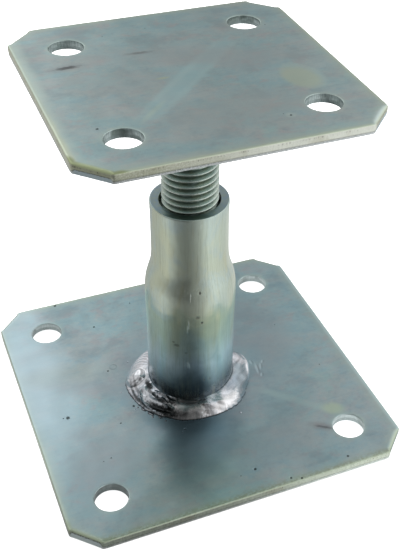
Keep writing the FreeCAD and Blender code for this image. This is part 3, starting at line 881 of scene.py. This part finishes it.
# ------------------------------------------------------------------ tube finish
def tube_material(name):
    T = Tree(name)
    P = T.P
    ang = T.m("ARCTAN2", T.y, T.x)
    ca = T.vec(T.m("MULTIPLY", T.nx, 19.0), T.m("MULTIPLY", T.ny, 19.0), T.m("MULTIPLY", T.z, 0.035))
    draw = T.noise(ca, 1.6, 4.0, 0.7)
    ca2 = T.vec(T.m("MULTIPLY", T.nx, 19.0), T.m("MULTIPLY", T.ny, 19.0), T.m("MULTIPLY", T.z, 0.16))
    draw2 = T.noise(ca2, 0.5, 3.0, 0.6)
    cloud = T.noise(T.scaled(1, 1, 0.7), 0.07, 3.0, 0.6, 0.6)
    zw = T.m("ADD", T.z, T.m("MULTIPLY", T.m("SUBTRACT", cloud, 0.5), 16.0))
    col = T.ramp(T.span(zw, 4.0, 104.0, 0.0, 1.0, smooth=False), [
        (0.00, (0.20, 0.27, 0.32)), (0.06, (0.32, 0.40, 0.45)), (0.15, (0.50, 0.61, 0.65)), (0.25, (0.76, 0.85, 0.88)),
        (0.36, (0.69, 0.77, 0.67)), (0.48, (0.66, 0.72, 0.56)), (0.60, (0.61, 0.69, 0.58)), (0.74, (0.60, 0.67, 0.54)),
        (0.90, (0.60, 0.69, 0.58)), (1.00, (0.57, 0.67, 0.60)),
    ])
    col = T.mix(T.span(cloud, 0.50, 0.66, 0.0, 0.50), col, (0.50, 0.63, 0.64))
    tint = T.noise(T.scaled(1, 1, 0.30), 0.10, 2.0, 0.5, 0.4)
    col = T.mix(T.m("MULTIPLY", T.span(tint, 0.52, 0.66), T.span(T.z, 26.0, 44.0, 0.0, 0.50)), col, (0.62, 0.63, 0.42))
    # darker foot of the tube over its front half, on the left, front and right: painted shade of the weld bead
    foot_shade_left = T.m("COSINE", T.m("SUBTRACT", ang, math.radians(205)))
    foot_shade_left = T.m("MULTIPLY", T.span(foot_shade_left, 0.10, 0.85), T.span(zw, 24.0, 6.0))
    col = T.mix(T.m("MULTIPLY", foot_shade_left, 0.88), col, (0.075, 0.12, 0.15))
    foot_shade_front = T.span(T.m("COSINE", T.m("SUBTRACT", ang, math.radians(240))), 0.72, 0.97)
    col = T.mix(T.m("MULTIPLY", T.m("MULTIPLY", foot_shade_front, T.span(zw, 32.0, 10.0)), 0.66), col, (0.055, 0.075, 0.075))
    # the same painted shade of the weld bead, on the front right
    far = T.span(T.m("COSINE", T.m("SUBTRACT", ang, math.radians(312))), 0.10, 0.80)
    col = T.mix(T.m("MULTIPLY", T.m("MULTIPLY", far, T.span(zw, 30.0, 8.0)), 0.84), col, (0.125, 0.15, 0.17))
    col = T.mix(T.span(draw, 0.46, 0.74, 0.0, 0.42), col, (0.36, 0.39, 0.30))
    col = T.mix(T.span(draw2, 0.50, 0.75, 0.0, 0.28), col, (0.66, 0.67, 0.50))
    # rim ring and the relieved mouth
    rim = T.span(T.nz, 0.80, 0.97)
    rim_n = T.noise(P, 0.5, 3.0, 0.65)
    rim_col = T.mix(T.span(rim_n, 0.35, 0.7), (0.36, 0.46, 0.52), (0.42, 0.49, 0.45))
    near = T.ellipse(-6.0, -13.5, 9.0, 4.2, -24, 0.45, warp=T.m("MULTIPLY", T.m("SUBTRACT", rim_n, 0.5), 0.8))
    rim_col = T.mix(T.m("MULTIPLY", near, 0.75), rim_col, (0.14, 0.20, 0.16))
    col = T.mix(rim, col, rim_col)
    # inside of the mouth painted near black: painted shade in the gap round the rod
    r2 = T.m("SQRT", T.m("ADD", T.m("MULTIPLY", T.x, T.x), T.m("MULTIPLY", T.y, T.y)))
    inside = T.span(r2, 13.1, 12.9, 0.0, 1.0)
    col = T.mix(T.m("MULTIPLY", inside, 0.9), col, (0.05, 0.06, 0.055))
    # small knocks: (angle deg, height, half width along the wall, half height, strength)
    marks = None
    for deg, z, w, hh_, k in (
        (262.0, 68.0, 0.5, 0.7, 0.8), (258.5, 56.0, 0.9, 0.8, 0.5), (264.0, 53.0, 0.55, 0.6, 0.8), (160.0, 54.0, 0.5, 0.4, 0.7),
        (232.0, 40.0, 1.3, 0.9, 0.5), (228.0, 41.5, 0.7, 0.5, 0.5), (244.0, 36.0, 0.8, 0.4, 0.4), (268.0, 19.5, 0.4, 0.3, 0.7),
        (276.0, 19.2, 0.35, 0.3, 0.7), (30.0, 60.0, 0.6, 0.6, 0.5), (95.0, 33.0, 0.8, 0.5, 0.5), (330.0, 44.0, 0.4, 0.5, 0.5),
    ):
        da = T.m("MULTIPLY", T.m("SINE", T.m("SUBTRACT", ang, math.radians(deg))), 19.0)
        front = T.m("GREATER_THAN", T.m("COSINE", T.m("SUBTRACT", ang, math.radians(deg))), 0.0)
        u = T.m("DIVIDE", da, w)
        v = T.m("DIVIDE", T.m("SUBTRACT", T.z, z), hh_)
        d = T.m("SQRT", T.m("ADD", T.m("MULTIPLY", u, u), T.m("MULTIPLY", v, v)))
        d = T.m("ADD", d, T.m("MULTIPLY", T.m("SUBTRACT", draw, 0.5), 0.9))
        mk = T.m("MULTIPLY", T.m("MULTIPLY", T.span(d, 0.6, 1.3, 1.0, 0.0), front), k)
        marks = mk if marks is None else T.m("MAXIMUM", marks, mk)
    col = T.mix(marks, col, (0.13, 0.13, 0.11))
    # bright vertical scratches
    bright = None
    for deg, z, w, hh_ in ((247.5, 52.0, 0.22, 3.2), (246.0, 49.5, 0.16, 2.6), (246.5, 29.0, 0.22, 2.2), (248.5, 28.5, 0.12, 1.6), (250.0, 66.0, 0.12, 2.4)):
        da = T.m("MULTIPLY", T.m("SINE", T.m("SUBTRACT", ang, math.radians(deg))), 19.0)
        front = T.m("GREATER_THAN", T.m("COSINE", T.m("SUBTRACT", ang, math.radians(deg))), 0.0)
        u = T.m("DIVIDE", da, w)
        v = T.m("DIVIDE", T.m("SUBTRACT", T.z, z), hh_)
        d = T.m("SQRT", T.m("ADD", T.m("MULTIPLY", u, u), T.m("MULTIPLY", v, v)))
        mk = T.m("MULTIPLY", T.span(d, 0.5, 1.1, 1.0, 0.0), front)
        bright = mk if bright is None else T.m("MAXIMUM", bright, mk)
    col = T.mix(T.m("MULTIPLY", bright, 0.8), col, (0.80, 0.83, 0.78))

    n1 = T.bump(draw, 0.22, 0.07)
    n2 = T.bump(T.noise(P, 0.10, 2.0), 0.30, 0.9, n1)
    n3_ = T.bump(T.noise(P, 3.5, 2.0, 0.6), 0.12, 0.05, n2)
    n4 = T.bump(T.m("SUBTRACT", bright, marks), 0.5, 0.15, n3_)
    rough = T.m("ADD", 0.185, T.m("MULTIPLY", draw, 0.11))
    rough = T.m("ADD", rough, T.m("MULTIPLY", T.span(T.z, 18.0, 6.0), 0.06))
    rough = T.m("ADD", rough, T.m("MULTIPLY", rim, 0.10), clamp=True)
    return T.finish(col, rough, 1.0, n4)


# ------------------------------------------------------------------ thread finish
def thread_material(name):
    T = Tree(name)
    r2 = T.m("SQRT", T.m("ADD", T.m("MULTIPLY", T.x, T.x), T.m("MULTIPLY", T.y, T.y)))
    crest = T.span(r2, 10.3, 11.95)
    stain = T.noise(T.scaled(1, 1, 1.2), 0.30, 4.0, 0.65, 0.4)
    worn = T.span(r2, 11.6, 11.98)
    # thread roots painted dark and crests paler, set by radius: painted shade in the grooves
    col = T.mix(crest, (0.10, 0.14, 0.11), (0.52, 0.61, 0.54))
    col = T.mix(T.m("MULTIPLY", worn, 0.70), col, (0.74, 0.80, 0.74))
    col = T.mix(T.span(stain, 0.42, 0.72, 0.0, 0.45), col, (0.42, 0.52, 0.50))
    col = T.mix(T.m("MULTIPLY", T.span(stain, 0.55, 0.30), 0.35), col, (0.52, 0.55, 0.42))
    speck = T.span(T.noise(T.P, 1.9, 3.0, 0.7), 0.62, 0.72)
    col = T.mix(T.m("MULTIPLY", speck, 0.5), col, (0.10, 0.12, 0.10))
    n1 = T.bump(T.noise(T.P, 0.9, 4.0, 0.7), 0.55, 0.30)
    rough = T.m("ADD", 0.15, T.m("MULTIPLY", stain, 0.16))
    rough = T.m("ADD", rough, T.m("MULTIPLY", T.m("SUBTRACT", 1.0, crest), 0.15), clamp=True)
    return T.finish(col, rough, 1.0, n1)


# ------------------------------------------------------------------ weld finish
def weld_material(name, base):
    T = Tree(name)
    P = T.P
    n_a = T.noise(P, 0.28, 3.0, 0.6, 0.6)
    n_b = T.noise(P, 1.1, 4.0, 0.7, 0.3)
    n_c = T.noise(P, 0.55, 4.0, 0.7, 1.2)
    col = T.ramp(n_a, [(0.32, (0.42, 0.49, 0.54)), (0.44, (0.56, 0.61, 0.66)), (0.54, (0.72, 0.73, 0.77)), (0.66, (0.48, 0.53, 0.58))])
    grime = T.span(n_c, 0.56, 0.70)
    col = T.mix(T.m("MULTIPLY", grime, 0.22 if base else 0.40), col, (0.30, 0.29, 0.29))
    if base:
        r2 = T.m("SQRT", T.m("ADD", T.m("MULTIPLY", T.x, T.x), T.m("MULTIPLY", T.y, T.y)))
        ang = T.m("ARCTAN2", T.y, T.x)
        warp = T.m("MULTIPLY", T.m("SUBTRACT", n_b, 0.5), 1.3)
        warp2 = T.m("MULTIPLY", T.m("SUBTRACT", n_c, 0.5), 1.6)

        def patch(deg, radius, half_t, half_r, soft, w):
            """A patch on the bead at an angle and radius, with half lengths along and across it."""
            d = T.m("SUBTRACT", ang, math.radians(deg))
            along = T.m("MULTIPLY", T.m("SINE", T.m("MULTIPLY", d, 0.5)), 2 * 24.0)
            return T.ellipse(0.0, radius, half_t, half_r, 0.0, soft, x=along, y=r2, warp=w)

        def put(mask, strength, color):
            nonlocal col
            col = T.mix(T.m("MULTIPLY", mask, strength), col, color)

        put(patch(168, 25.0, 6.0, 5.0, 0.35, warp), 0.75, (0.94, 0.95, 0.97))
        put(patch(140, 24.5, 8.0, 4.0, 0.4, warp2), 0.70, (0.95, 0.93, 0.96))
        put(patch(334, 24.0, 9.5, 4.5, 0.35, warp), 0.85, (0.30, 0.36, 0.39))
        put(patch(305, 24.6, 5.2, 3.8, 0.5, warp), 0.72, (0.36, 0.40, 0.43))
        put(patch(316, 25.0, 5.0, 4.5, 0.5, warp), 0.70, (0.30, 0.35, 0.38))
        put(patch(352, 27.2, 6.5, 1.0, 0.5, warp), 0.80, (0.93, 0.93, 0.95))
        put(patch(357, 24.0, 4.0, 2.4, 0.5, warp2), 0.55, (0.86, 0.84, 0.87))
        put(patch(291, 25.4, 6.0, 2.2, 0.45, warp2), 0.70, (0.90, 0.88, 0.87))
        put(patch(300, 22.4, 5.0, 1.0, 0.5, warp2), 0.50, (0.84, 0.84, 0.87))
        put(patch(272, 25.6, 4.5, 2.2, 0.5, warp2), 0.55, (0.58, 0.55, 0.54))
        put(patch(243, 24.0, 10.5, 6.0, 0.30, warp), 0.82, (0.135, 0.13, 0.12))
        put(patch(247, 23.4, 7.0, 0.7, 0.6, warp2), 0.50, (0.50, 0.48, 0.46))
        put(patch(233, 23.0, 4.5, 0.6, 0.6, warp2), 0.60, (0.66, 0.66, 0.66))
        put(patch(200, 24.2, 6.5, 2.4, 0.45, warp), 0.70, (0.84, 0.87, 0.90))
        put(patch(220, 26.0, 8.0, 1.9, 0.35, warp), 0.96, (0.018, 0.020, 0.020))
        put(patch(212, 22.6, 9.0, 0.9, 0.45, warp2), 0.90, (0.03, 0.032, 0.032))
        # near-black patch in the crevice between the bead's round stop and the tube: painted shade
        put(patch(187, 21.4, 3.2, 1.2, 0.4, warp), 0.95, (0.02, 0.022, 0.022))
        put(patch(196, 28.2, 9.0, 0.6, 0.5, warp2), 0.85, (0.03, 0.032, 0.030))
        # near-black band where the bead meets the tube on the front: painted shade in the corner
        put(patch(236, 20.6, 13.0, 1.1, 0.35, warp), 0.80, (0.05, 0.05, 0.05))
        put(patch(180, 26.5, 5.0, 0.5, 0.5, warp2), 0.55, (0.12, 0.12, 0.12))
        toe = T.m("MULTIPLY", T.m("MULTIPLY", T.span(T.z, 4.75, 4.15), T.span(n_b, 0.28, 0.50)), T.span(r2, 31.0, 30.5))
        put(toe, 0.9, (0.04, 0.042, 0.045))
        put(patch(312, 21.6, 6.0, 1.6, 0.5, warp), 0.55, (0.36, 0.43, 0.50))
    crack = T.span(n_b, 0.70, 0.80)
    col = T.mix(T.m("MULTIPLY", crack, 0.25), col, (0.16, 0.16, 0.16))
    n1 = T.bump(n_c, 0.20, 0.24)
    n2 = T.bump(n_b, 0.08, 0.08, n1)
    n3_ = T.bump(T.noise(P, 5.0, 3.0, 0.6), 0.08, 0.03, n2)
    rough = T.m("ADD", 0.09, T.m("MULTIPLY", n_a, 0.14))
    rough = T.m("ADD", rough, T.m("MULTIPLY", grime, 0.12), clamp=True)
    return T.finish(col, rough, 1.0, n3_)


# ------------------------------------------------------------------ build
base_plate = plate("base_plate_detail", BASE_SIDE, BASE_T, BASE_CUT, BASE_PITCH, 0.0, 0.0)
top_plate = plate("top_plate_detail", TOP_SIDE, TOP_T, TOP_CUT, TOP_PITCH, TOP_Z0, 17.0)
tube_ob = tube("tube_detail")
rod_ob = rod("threaded_rod_detail")
bw = base_weld("base_weld_detail")
tw = top_weld("top_weld_detail")

for ob, mat in (
    (base_plate, plate_material("zinc_base_plate", BASE_SIDE, BASE_CUT, BASE_T, 0.0, BASE_PITCH, 0.0, False)),
    (top_plate, plate_material("zinc_top_plate", TOP_SIDE, TOP_CUT, TOP_T, TOP_Z0, TOP_PITCH, 1.7, True)),
    (tube_ob, tube_material("zinc_tube")),
    (rod_ob, thread_material("zinc_thread")),
    (bw, weld_material("weld_base", True)),
    (tw, weld_material("weld_top", False)),
):
    ob.data.materials.clear()
    ob.data.materials.append(mat)

for ob, body, node, slot in (
    (base_plate, "base", "base_plate", "zinc_plate"),
    (tube_ob, "base", "tube", "zinc_tube"),
    (bw, "base", "base_weld", "weld_bead"),
    (top_plate, "head", "top_plate", "zinc_plate"),
    (rod_ob, "head", "threaded_rod", "zinc_thread"),
    (tw, "head", "top_weld", "weld_bead"),
):
    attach(ob, body)
    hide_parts(node)


# ------------------------------------------------------------------ stage
def stage_plane(name, size, loc, rot, color, strength, only_glossy=False, rough=0.8):
    me = bpy.data.meshes.new(name)
    sx, sy = size[0] / 2, size[1] / 2
    me.from_pydata([(-sx, -sy, 0), (sx, -sy, 0), (sx, sy, 0), (-sx, sy, 0)], [], [(0, 1, 2, 3)])
    ob = bpy.data.objects.new(name, me)
    scene.collection.objects.link(ob)
    ob.location, ob.rotation_euler = loc, rot
    mat = bpy.data.materials.new(name)
    mat.use_nodes = True
    b = mat.node_tree.nodes["Principled BSDF"]
    b.inputs["Base Color"].default_value = (*color, 1)
    b.inputs["Roughness"].default_value = rough
    b.inputs["Emission Color"].default_value = (*color, 1)
    b.inputs["Emission Strength"].default_value = strength
    me.materials.append(mat)
    if only_glossy:
        ob.visible_camera = ob.visible_diffuse = ob.visible_shadow = False
        ob.visible_transmission = ob.visible_volume_scatter = False
        b.inputs["Base Color"].default_value = (0, 0, 0, 1)
        b.inputs["Specular IOR Level"].default_value = 0.0
    return ob


AZ = math.radians(-24.3157)  # the camera's bearing
near = np.array([math.sin(AZ), -math.cos(AZ)])  # towards the camera
right = np.array([math.cos(AZ), math.sin(AZ)])

floor = stage_plane("floor", (12, 12), (0, 0, -0.0004), (0, 0, 0), (0.86, 0.86, 0.86), 0.9)


# the studio round the part: brightness by bearing from the camera's side, in rings of elevation
COARSE = list(range(-180, 180, 30))
FINE = [-180, -172, -164, -155, -140, -120, -90, -60, -45, -30, -15, 0, 15, 30, 45, 60, 90, 120, 145, 160, 172]
ROOM = [
    (5, COARSE, [0.36, 0.48, 0.48, 0.34, 0.18, 0.09, 0.23, 0.52, 0.71, 0.69, 0.60, 0.63]),
    (30, FINE, [0.45, 0.44, 1.13, 1.34, 1.00, 0.68, 0.65, 0.50, 0.40, 0.36, 0.34, 0.34, 0.38, 0.54, 0.96, 1.32, 1.33, 1.11, 1.10, 0.99, 0.72]),
    (55, FINE, [0.25, 0.57, 1.01, 1.13, 0.80, 0.52, 0.60, 0.49, 0.29, 0.11, 0.02, 0.04, 0.22, 0.44, 0.71, 1.00, 1.07, 0.85, 0.77, 0.63, 0.32]),
    (85, COARSE, [0.68] * 12),
]
FLOOR_NEAR = (FINE, [0.49, 0.46, 0.44, 0.45, 0.49, 0.53, 0.58, 0.71, 0.51, 0.29, 0.21, 0.19, 0.27, 0.42, 0.73, 0.92, 0.81, 0.71, 0.80, 0.67, 0.54])
FLOOR_FAR = (COARSE, [0.60, 0.61, 0.65, 0.62, 0.47, 0.16, 0.08, 0.44, 1.00, 0.91, 0.78, 0.69])


class Nodes:
    def __init__(self, nt):
        self.nt = nt

    def m(self, op, a, b=None):
        n = self.nt.nodes.new("ShaderNodeMath")
        n.operation = op
        for k, v in ((0, a), (1, b)):
            if isinstance(v, bpy.types.NodeSocket):
                self.nt.links.new(v, n.inputs[k])
            elif v is not None:
                n.inputs[k].default_value = v
        return n.outputs[0]

    def bearing(self, vector):
        n = self.nt.nodes.new("ShaderNodeSeparateXYZ")
        self.nt.links.new(vector, n.inputs[0])
        x, y, z = n.outputs
        a = self.m("ADD", self.m("MULTIPLY", x, float(near[0])), self.m("MULTIPLY", y, float(near[1])))
        c = self.m("ADD", self.m("MULTIPLY", x, float(right[0])), self.m("MULTIPLY", y, float(right[1])))
        share = self.m("ADD", self.m("DIVIDE", self.m("ARCTAN2", c, a), 2 * math.pi), 0.5)
        dist = self.m("SQRT", self.m("ADD", self.m("MULTIPLY", a, a), self.m("MULTIPLY", c, c)))
        return share, dist, z

    def ring(self, share, bearings, values):
        n = self.nt.nodes.new("ShaderNodeValToRGB")
        self.nt.links.new(share, n.inputs[0])
        el = n.color_ramp.elements
        stops = [((b + 180) / 360, v) for b, v in zip(bearings, values)] + [(1.0, values[0])]
        el[0].position, el[0].color = stops[0][0], (*(stops[0][1],) * 3, 1)
        el[1].position, el[1].color = stops[-1][0], (*(stops[-1][1],) * 3, 1)
        for p_, v in stops[1:-1]:
            el.new(p_).color = (v, v, v, 1)
        return n.outputs[0]

    def lerp(self, f, a, b):
        n = self.nt.nodes.new("ShaderNodeMix")
        n.data_type = "FLOAT"
        n.clamp_factor = True
        self.nt.links.new(f, n.inputs[0])
        self.nt.links.new(a, n.inputs[2])
        self.nt.links.new(b, n.inputs[3])
        return n.outputs[0]


world = bpy.data.worlds.new("studio")
scene.world = world
world.use_nodes = True
wt = world.node_tree
bg = wt.nodes["Background"]
N = Nodes(wt)
share, _, zdir = N.bearing(wt.nodes.new("ShaderNodeTexCoord").outputs["Generated"])
elev = N.m("MULTIPLY", N.m("ARCSINE", zdir), 180 / math.pi)
level = N.ring(share, ROOM[0][1], ROOM[0][2])
for k in range(1, len(ROOM)):
    e0, e1 = ROOM[k - 1][0], ROOM[k][0]
    level = N.lerp(N.m("DIVIDE", N.m("SUBTRACT", elev, float(e0)), float(e1 - e0)), level, N.ring(share, ROOM[k][1], ROOM[k][2]))
# the backdrop itself is plain white
lp = wt.nodes.new("ShaderNodeLightPath")
level = N.m("MAXIMUM", level, lp.outputs["Is Camera Ray"])
wt.links.new(level, bg.inputs["Strength"])
bg.inputs["Color"].default_value = (0.98, 0.99, 1.0, 1)

# what the part sees of the floor: a disc that only reflections see
me = bpy.data.meshes.new("card_floor")
K = 96
me.from_pydata(
    [(0, 0, 0)] + [(5 * math.cos(2 * math.pi * i / K), 5 * math.sin(2 * math.pi * i / K), 0) for i in range(K)], [],
    [(0, 1 + i, 1 + (i + 1) % K) for i in range(K)],
)
card = bpy.data.objects.new("card_floor", me)
scene.collection.objects.link(card)
card.location = (0, 0, -0.0002)
card.visible_camera = card.visible_diffuse = card.visible_shadow = False
card.visible_transmission = card.visible_volume_scatter = False
cm = bpy.data.materials.new("card_floor")
cm.use_nodes = True
ct = cm.node_tree
ct.nodes.clear()
N = Nodes(ct)
em = ct.nodes.new("ShaderNodeEmission")
ct.links.new(em.outputs[0], ct.nodes.new("ShaderNodeOutputMaterial").inputs["Surface"])
share, dist, _ = N.bearing(ct.nodes.new("ShaderNodeTexCoord").outputs["Object"])
far = N.m("DIVIDE", N.m("SUBTRACT", dist, 0.18), 0.12)
ct.links.new(N.lerp(far, N.ring(share, *FLOOR_NEAR), N.ring(share, *FLOOR_FAR)), em.inputs["Strength"])
em.inputs["Color"].default_value = (0.98, 0.99, 1.0, 1)
me.materials.append(cm)


def area(name, loc, size, power, target=(0, 0, 0.08), color=(1, 1, 1), glossy=True):
    li = bpy.data.lights.new(name, "AREA")
    li.shape = "RECTANGLE"
    li.size, li.size_y = size
    li.energy = power
    li.color = color
    ob = bpy.data.objects.new(name, li)
    scene.collection.objects.link(ob)
    ob.location = loc
    ob.rotation_mode = "QUATERNION"
    ob.rotation_quaternion = (Vector(target) - Vector(loc)).to_track_quat("-Z", "Y")
    ob.visible_glossy = glossy
    return ob


area("softbox_top", (0.1, 0.2, 1.7), (1.4, 1.4), 26, glossy=False)

# ------------------------------------------------------------------ camera
cam_data = bpy.data.cameras.new("camera")
cam = bpy.data.objects.new("camera", cam_data)
scene.collection.objects.link(cam)
r = Vector((0.91879635, -0.3935342, 0.03072621))
u = Vector((0.18890818, 0.50672515, 0.84115594))
b = Vector((-0.34659337, -0.76704658, 0.53991905))
cam.matrix_world = Matrix((
    (r.x, u.x, b.x, -0.12456350), (r.y, u.y, b.y, -0.33764495), (r.z, u.z, b.z, 0.34045006), (0, 0, 0, 1),
))
cam_data.sensor_width = 36.0
cam_data.sensor_fit = "AUTO"
cam_data.lens = 1038.1545 * 36 / 549
cam_data.shift_x = (200 - 252.2611) / 549
cam_data.shift_y = (187.3923 - 274.5) / 549
cam_data.clip_start, cam_data.clip_end = 0.01, 50
scene.camera = cam
scene.view_settings.view_transform = "Standard"
scene.view_settings.look = "None"
